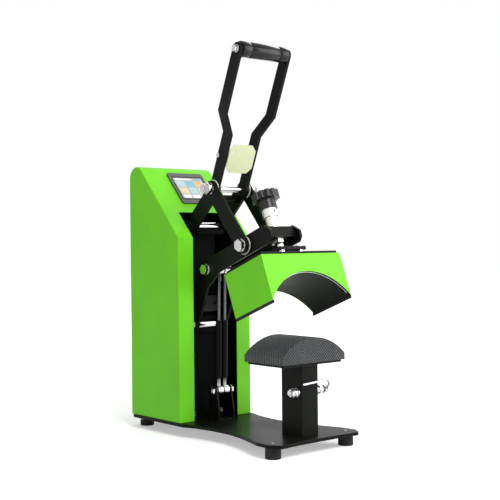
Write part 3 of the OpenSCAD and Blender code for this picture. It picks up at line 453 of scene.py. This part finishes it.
SHARP = math.radians(35)
FLAT = math.radians(1.5)
WELD = 2e-6
EDGES = {
    "housing_shell": 0.0008, "platen_cover": 0.0008, "platen_top_plate": 0.0007, "carrier_plate": 0.0007,
    "lever_left": 0.0009, "lever_right": 0.0009, "link_left": 0.0008, "link_right": 0.0008,
    "arm_left": 0.0008, "arm_right": 0.0008, "cross_bar": 0.0009, "base_plate": 0.0009, "badge_plate": 0.0003,
    "pressure_knob": 0.0016, "screw_collar": 0.0008, "screw_bush": 0.0008,
    "form_post": 0.0006, "form_plate": 0.0006, "form_pad": 0.0015, "toggle_shaft": 0.0005,
    "link_bolts": 0.0006, "gas_spring_axle": 0.0006, "clamp_nuts": 0.0005, "column": 0.0012,
    "stop_block": 0.0012, "lower_axle_bracket": 0.0006, "lower_axle": 0.0005, "grip_rod": 0.0006,
    "badge_screws": 0.0006, "platen_studs": 0.0005, "gas_spring_cylinders": 0.0008, "gas_spring_rods": 0.0008,
    "arm_shaft": 0.0006, "handle_shaft": 0.0006, "screen_bezel": 0.0007, "power_inlet": 0.0006,
    "switch_frame": 0.0005, "switch_rocker": 0.0005, "solid_state_relay": 0.0008, "heating_block": 0.0008,
    "insulation": 0.0003, "rubber_feet": 0.0008, "slip_washers": 0.0004, "slot_channel": 0.0004,
}
softened = {}


def split_sharp(shell, smooth=True):
    """Smooths the faces of a bmesh up to its sharp edges."""
    for face in shell.faces:
        face.smooth = smooth
    for edge in shell.edges:
        edge.smooth = edge.calc_face_angle(0) < SHARP


def soften(name, width):
    """Replaces a node by a copy of its mesh with rounded edges."""
    node = nodes[name]
    mesh = bpy.data.meshes.new(name + "_soft")
    shell = bmesh.new()
    shell.from_mesh(node.data)
    shell.transform(node.matrix_world)
    bmesh.ops.remove_doubles(shell, verts=shell.verts, dist=WELD)
    bmesh.ops.dissolve_limit(shell, angle_limit=FLAT, use_dissolve_boundaries=False,
                             verts=shell.verts, edges=shell.edges, delimit={"NORMAL"})
    split_sharp(shell)
    shell.to_mesh(mesh)
    shell.free()
    piece = bpy.data.objects.new(name + "_soft", mesh)
    scene.collection.objects.link(piece)
    paint(piece, node.material_slots[0].material)
    softened[name] = piece
    edge = piece.modifiers.new("edge", "BEVEL")
    edge.width = width
    edge.segments = 2
    edge.limit_method = "ANGLE"
    edge.angle_limit = SHARP
    edge.miter_outer = "MITER_SHARP"
    edge.use_clamp_overlap = True
    edge.harden_normals = True
    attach(piece, body_of_node[name])
    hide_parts(name)


def refinish(name, look, chosen=None):
    """Gives a softened piece another finish, or only those of its faces that are chosen."""
    mesh = softened[name].data
    if chosen is None:
        mesh.materials[0] = finishes[look]
        return
    mesh.materials.append(finishes[look])
    for face in mesh.polygons:
        if chosen(face.center, face.normal):
            face.material_index = 1


# Lengths of the bright eyes at the ends of the gas springs and of the toggle shaft's threaded ends
ROD_EYE = 0.019
CYLINDER_EYE = 0.026
TOGGLE_THREAD = 0.0095


def refinish_all():
    """Second finishes: the platen cover's arch cut and inner and downward faces painted black as shade, bright
    spring eyes, threaded ends, the screen's rim, and a darker black as painted shade inside the slot.
    """
    depth = Vector((0, math.cos(ARM_TILT), math.sin(ARM_TILT)))
    rise = Vector(SCREW_AXIS)
    out_of_slope = Vector((0, -math.sin(SLOPE), math.cos(SLOPE)))
    rod_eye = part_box("gas_spring_rods")[1][2] - ROD_EYE
    cylinder_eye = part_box("gas_spring_cylinders")[0][2] + CYLINDER_EYE
    nut_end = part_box("toggle_shaft")[1][0] - TOGGLE_THREAD
    lowered = RAISED.inverted()

    def painted_shade_faces(at, facing):
        """The cover's inner and downward faces and the cut of its arch, whose black is painted shade on the
        green sheet.
        """
        low = lowered @ at
        in_arch = abs(facing.dot(depth)) < 0.5 and math.hypot(low.x, low.z - ARCH_AXIS) < ARCH_EDGE
        return facing.dot(rise) < -0.5 or facing.x * at.x < -0.01 or in_arch

    # The green cover's arch cut and inner and downward faces get the black insulation finish as painted shade.
    refinish("platen_cover", "insulation", painted_shade_faces)
    refinish("heating_block", "bare_edge")
    refinish("heating_block", "black_ptfe", lambda at, facing: abs(facing.dot(depth)) < 0.5)
    refinish("gas_spring_rods", "dark_steel", lambda at, facing: at.z < rod_eye)
    refinish("gas_spring_cylinders", "bright_steel", lambda at, facing: at.z < cylinder_eye)
    refinish("toggle_shaft", "threaded_bar", lambda at, facing: abs(at.x) > nut_end and abs(facing.x) < 0.5)
    refinish("handle_shaft", "black_paint")
    # The column and the slot's lining get the darker black as painted shade; the lining is a black sheet put
    # where the slot's interior is in shade.
    refinish("column", "slot_shade_black")
    refinish("slot_channel", "slot_shade_black")
    refinish("screen_bezel", "grey_rim", lambda at, facing: facing.dot(out_of_slope) > 0.9)


def wear_edges():
    """Lets the rounded edges of the plain black pieces show rubbed spots."""
    for piece in softened.values():
        if list(piece.data.materials) == [finishes["black_paint"]]:
            piece.data.materials.append(finishes["worn_black_edge"])
            piece.modifiers["edge"].material = 1


# The housing's folded corners, and how much of that width its cut edges get
HOUSING_ROLL = 0.0024
CUT_EDGE = 0.3


def round_housing_corners():
    """Rolls the upright corners of the sheet housing wider than its cut edges."""
    piece = softened["housing_shell"]
    mesh = piece.data
    weight = mesh.attributes.new("bevel_weight_edge", "FLOAT", "EDGE")
    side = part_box("housing_shell")[1][0]
    shell = bmesh.new()
    shell.from_mesh(mesh)
    shell.edges.ensure_lookup_table()
    for i, edge in enumerate(shell.edges):
        if len(edge.link_faces) != 2 or edge.calc_face_angle() < SHARP:
            continue
        corner = all(abs(abs(v.co.x) - side) < 1e-4 for v in edge.verts)
        weight.data[i].value = 1.0 if corner else CUT_EDGE
    shell.free()
    edge = piece.modifiers["edge"]
    edge.limit_method = "WEIGHT"
    edge.width = HOUSING_ROLL
    edge.segments = 3
    edge.use_clamp_overlap = False


# New pieces

def new_piece(name, shell, body, slot, look=None, smooth=False):
    """Makes an object of a bmesh that rides on a body; its finish is the slot's unless one is named."""
    bmesh.ops.recalc_face_normals(shell, faces=shell.faces)
    split_sharp(shell, smooth)
    mesh = bpy.data.meshes.new(name)
    shell.to_mesh(mesh)
    shell.free()
    piece = bpy.data.objects.new(name, mesh)
    scene.collection.objects.link(piece)
    paint(piece, finishes[look or slot])
    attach(piece, body)
    return piece


def add_slab(shell, size, place, bevel):
    """Adds a box with rounded edges to a bmesh."""
    made = bmesh.ops.create_cube(shell, size=1.0, matrix=place @ Matrix.Diagonal((*size, 1)))
    edges = {e for v in made["verts"] for e in v.link_edges}
    bmesh.ops.bevel(shell, geom=list(edges), offset=bevel, segments=2, affect="EDGES",
                    profile=0.5, material=-1)


# The screen's centre, across and up the slope from the fold, and the height of its glass above the slope
SCREEN_X = 0.012
SCREEN_UP = 0.128
GLASS = 0.0028

# The lit page and its tiles: size of the page, thickness, rounding, rise of a tile above the page, glow
PAGE = (0.070, 0.0555)
FILM = 0.0003
FILM_EDGE = 0.0001
TILE_RISE = 0.0002
GLOW = 0.25


def on_screen(x, up, lift=0.0):
    """A place on the screen's glass, from its centre."""
    return (Matrix.Translation(FOLD) @ Matrix.Rotation(SLOPE, 4, "X")
            @ Matrix.Translation((SCREEN_X + x, SCREEN_UP + up, GLASS + lift)))


def make_screen_tiles():
    """A pale lit page with soft tiles in place of the menu, and no words."""
    colours = {
        "page": (0.34, 0.37, 0.35), "tile_teal": (0.16, 0.36, 0.42), "tile_sky": (0.34, 0.48, 0.52),
        "tile_orange": (0.66, 0.36, 0.15), "tile_cream": (0.60, 0.52, 0.32), "tile_white": (0.66, 0.68, 0.66)}
    for name, colour in colours.items():
        moulded(name, colour, grain=300.0, depth=0.02, rough=0.2, dust=0.0, bump=0.01,
                Emission_Color=(*colour, 1), Emission_Strength=GLOW)
    wide, tall, short = 0.0185, 0.0155, 0.0085
    left, middle, right = -0.0225, 0.0, 0.0225
    upper, lower, lowest = 0.011, -0.0075, -0.0225
    layout = {
        "tile_teal": [(middle, upper, wide, tall), (right, 0.0225, wide, 0.0045)],
        "tile_sky": [(left, upper, wide, tall), (middle, lower, wide, tall)],
        "tile_orange": [(right, upper, wide, tall)],
        "tile_cream": [(left, lower, wide, tall), (right, lower, wide, tall)],
        "tile_white": [*((x, lowest, wide, short) for x in (left, middle, right)),
                       (-0.0112, 0.0240, 0.041, 0.0035)],
    }
    page = bmesh.new()
    add_slab(page, (*PAGE, FILM), on_screen(0, 0), FILM_EDGE)
    new_piece("screen_page", page, "base", "screen", "page")
    for name, tiles in layout.items():
        shell = bmesh.new()
        for x, up, w, h in tiles:
            add_slab(shell, (w, h, FILM), on_screen(x, up, TILE_RISE), FILM_EDGE)
        new_piece("screen_" + name, shell, "base", "screen", name)


# The grip's sleeve: radius of its bore, and its rounded end and its ring as distances from the end with depths
GRIP_BORE = 0.00805
GRIP_END = ((0, 0.0012), (0.0005, 0.0003), (0.0014, 0))
GRIP_RING = ((0.0184, 0), (0.0191, 0.0003), (0.0194, 0.0011), (0.0210, 0.0011), (0.0213, 0.0003), (0.0220, 0))


def make_grip():
    """Rubber sleeve turned about the tie rod, with a ring marked off near each end."""
    low, high = (Vector(corner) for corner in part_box("grip"))
    middle = (low + high) / 2
    end = (high.x - low.x) / 2
    radius = (high.z - low.z) / 2
    half = [(end, GRIP_BORE)] + [(end - along, radius - sunk) for along, sunk in GRIP_END + GRIP_RING]
    outline = half + [(-x, r) for x, r in reversed(half)]
    shell = bmesh.new()
    corners = [shell.verts.new(middle + Vector((x, r, 0))) for x, r in outline]
    rim = [shell.edges.new((a, b)) for a, b in zip(corners, corners[1:] + corners[:1])]
    bmesh.ops.spin(shell, geom=corners + rim, cent=middle, axis=(1, 0, 0), angle=math.tau, steps=72,
                   use_merge=True)
    piece = new_piece("grip_sleeve", shell, body_of_node["grip"], "grip_rubber", smooth=True)
    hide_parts("grip")


def add_diamonds(shell, across, along):
    """Adds a flat lattice of low diamonds between grid lines half a rib apart, given by their numbers."""
    step = RIB / 2

    def in_groove(v):
        return (round(v.co.x / step) + round(v.co.y / step)) % 2 == 0

    columns, rows = across[1] - across[0], along[1] - along[0]
    middle = Matrix.Translation((sum(across) * step / 2, sum(along) * step / 2, 0))
    made = bmesh.ops.create_grid(shell, x_segments=columns, y_segments=rows, size=0.5,
                                 matrix=middle @ Matrix.Diagonal((columns * step, rows * step, 1, 1)))
    grooves = [v for v in made["verts"] if in_groove(v)]
    tips = [v for v in made["verts"] if not in_groove(v)]
    bmesh.ops.connect_verts(shell, verts=grooves)
    bmesh.ops.translate(shell, verts=tips, vec=(0, 0, RIB_RISE))


def sink_pad():
    """Shrinks the softened pad's outer faces to just under the grooves between its diamonds."""
    low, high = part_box("form_pad")
    radius = high[2] - ARCH_AXIS
    clearance, near = 0.0001, 0.0002
    sunk = RIB_RISE + clearance
    for v in softened["form_pad"].data.vertices:
        out = math.hypot(v.co.x, v.co.z - ARCH_AXIS)
        if out > radius - near:
            v.co.x *= (out - sunk) / out
            v.co.z = ARCH_AXIS + (v.co.z - ARCH_AXIS) * (out - sunk) / out
        if abs(v.co.y - low[1]) < near:
            v.co.y += sunk
        if abs(v.co.y - high[1]) < near:
            v.co.y -= sunk


def make_pad_ribs():
    """Crossed ribs on the pad's top and ends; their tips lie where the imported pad's surface is."""
    low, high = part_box("form_pad")
    groove = high[2] - ARCH_AXIS - RIB_RISE
    step = RIB / 2
    last_column = int(high[0] / step)
    across = (-last_column, last_column)
    top = bmesh.new()
    add_diamonds(top, across, (math.ceil(low[1] / step) + 1, math.floor(high[1] / step)))
    bmesh.ops.solidify(top, geom=top.faces[:], thickness=RIB_SKIN)
    for v in top.verts:
        angle = math.asin(v.co.x / groove)
        out = groove + v.co.z
        v.co = (out * math.sin(angle), v.co.y, ARCH_AXIS + out * math.cos(angle))
    new_piece("form_pad_top_ribs", top, body_of_node["form_pad"], "silicone")
    ends = bmesh.new()
    for face_at, outward in ((low[1] + RIB_RISE, -1), (high[1] - RIB_RISE, 1)):
        end = bmesh.new()
        add_diamonds(end, across, (math.ceil(low[2] / step), math.ceil(high[2] / step)))
        outside = [v for v in end.verts if math.hypot(v.co.x, v.co.y - ARCH_AXIS) > groove - RIB_SKIN]
        bmesh.ops.delete(end, geom=outside, context="VERTS")
        bmesh.ops.solidify(end, geom=end.faces[:], thickness=RIB_SKIN)
        for v in end.verts:
            v.co = (v.co.x, face_at + outward * v.co.z, v.co.y)
        mesh = bpy.data.meshes.new("end")
        end.to_mesh(mesh)
        end.free()
        ends.from_mesh(mesh)
        bpy.data.meshes.remove(mesh)
    new_piece("form_pad_end_ribs", ends, body_of_node["form_pad"], "silicone")


# The edging of the lowered platen: its place to each side and up, its width, height and rounding
EDGING_X = 0.0911
EDGING_UP = 0.1541
EDGING_WIDE = 0.0026
EDGING_HIGH = 0.0054
EDGING_ROUND = 0.0005


def make_platen_edging():
    """Black heat-proof edging on the lower edge of each side of the platen's cover."""
    shell = bmesh.new()
    for side in (-1, 1):
        place = Matrix.Translation((side * EDGING_X, (PLATEN_FRONT + PLATEN_BACK) / 2, EDGING_UP))
        size = (EDGING_WIDE, PLATEN_BACK - PLATEN_FRONT, EDGING_HIGH)
        add_slab(shell, size, RAISED @ place, EDGING_ROUND)
    new_piece("platen_edging", shell, body_of_node["platen_cover"], "insulation")


# Light, floor and backdrop

# Soft square lamps: place, target, width and watts; and how strongly the sky lights
LAMPS = {
    "key": ((-0.6, -2.4, 2.6), (0, 0, 0.35), 1.6, 88),
    "side": ((-2.6, -0.2, 1.0), (0, 0.1, 0.3), 1.6, 5),
    "front": ((1.8, -1.9, 1.1), (0, -0.1, 0.3), 1.8, 42),
    "rim": ((2.2, 0.8, 1.8), (0, 0, 0.4), 1.4, 25),
}
SKY_LIGHT = 0.33

# The floor: its size and tone, the distances from the press between which it fades, its glow before that
FLOOR_RADIUS = 9.0
FLOOR_TONE = 0.86
FADE_FROM = 0.9
FADE_TO = 2.6
FLOOR_GLOW = 0.4


def add_lamps():
    """The lamps, each aimed at its target."""
    for name, (place, target, width, watts) in LAMPS.items():
        data = bpy.data.lights.new(name, "AREA")
        data.energy = watts
        data.size = width
        lamp = bpy.data.objects.new(name, data)
        scene.collection.objects.link(lamp)
        aim = (Vector(target) - Vector(place)).to_track_quat("-Z", "Y")
        lamp.matrix_world = Matrix.Translation(place) @ aim.to_matrix().to_4x4()


def white_for_camera(tree, plain, bright):
    """A strength that is bright for camera, mirror and glass rays, and plain for the rest."""
    rays = add_node(tree, "LightPath")
    seen = maths(tree, "MAXIMUM", rays.outputs["Is Camera Ray"], rays.outputs["Is Glossy Ray"])
    seen = maths(tree, "MAXIMUM", seen, rays.outputs["Is Transmission Ray"])
    return span(tree, seen, 0, 1, plain, bright)


def add_sky():
    """A world that looks white and lights softly."""
    world = bpy.data.worlds.new("studio")
    scene.world = world
    world.use_nodes = True
    sky = world.node_tree.nodes["Background"]
    sky.inputs["Color"].default_value = (1, 1, 1, 1)
    feed(world.node_tree, sky.inputs["Strength"], white_for_camera(world.node_tree, SKY_LIGHT, 1.0))


def add_floor():
    """A pale floor that keeps the shadow, fades into the sky and can't be seen from below."""
    shell = bmesh.new()
    bmesh.ops.create_circle(shell, cap_ends=True, segments=64, radius=FLOOR_RADIUS)
    mesh = bpy.data.meshes.new("floor")
    shell.to_mesh(mesh)
    shell.free()
    floor = bpy.data.objects.new("floor", mesh)
    scene.collection.objects.link(floor)
    material = bpy.data.materials.new("floor")
    material.use_nodes = True
    tree = material.node_tree
    shader = tree.nodes["Principled BSDF"]
    shader.inputs["Base Color"].default_value = (FLOOR_TONE, FLOOR_TONE, FLOOR_TONE, 1)
    shader.inputs["Roughness"].default_value = 0.9
    shader.inputs["Specular IOR Level"].default_value = 0.1
    shader.inputs["Emission Color"].default_value = (1, 1, 1, 1)
    away = add_node(tree, "VectorMath", operation="LENGTH")
    feed(tree, away.inputs[0], add_node(tree, "TexCoord").outputs["Object"])
    open_floor = span(tree, away.outputs["Value"], FADE_FROM, FADE_TO, FLOOR_GLOW, 1.0)
    feed(tree, shader.inputs["Emission Strength"], white_for_camera(tree, 0.0, open_floor))
    from_below = add_node(tree, "NewGeometry").outputs["Backfacing"]
    feed(tree, shader.inputs["Alpha"], maths(tree, "SUBTRACT", 1.0, from_below))
    paint(floor, material)


def make_all():
    """Everything, in order."""
    add_camera()
    dress_nodes()
    thread_bars()
    for name, width in EDGES.items():
        soften(name, width)
    refinish_all()
    wear_edges()
    round_housing_corners()
    make_grip()
    make_platen_edging()
    sink_pad()
    make_pad_ribs()
    make_screen_tiles()
    add_sky()
    add_floor()
    add_lamps()
    scene.view_settings.view_transform = "Standard"


make_all()
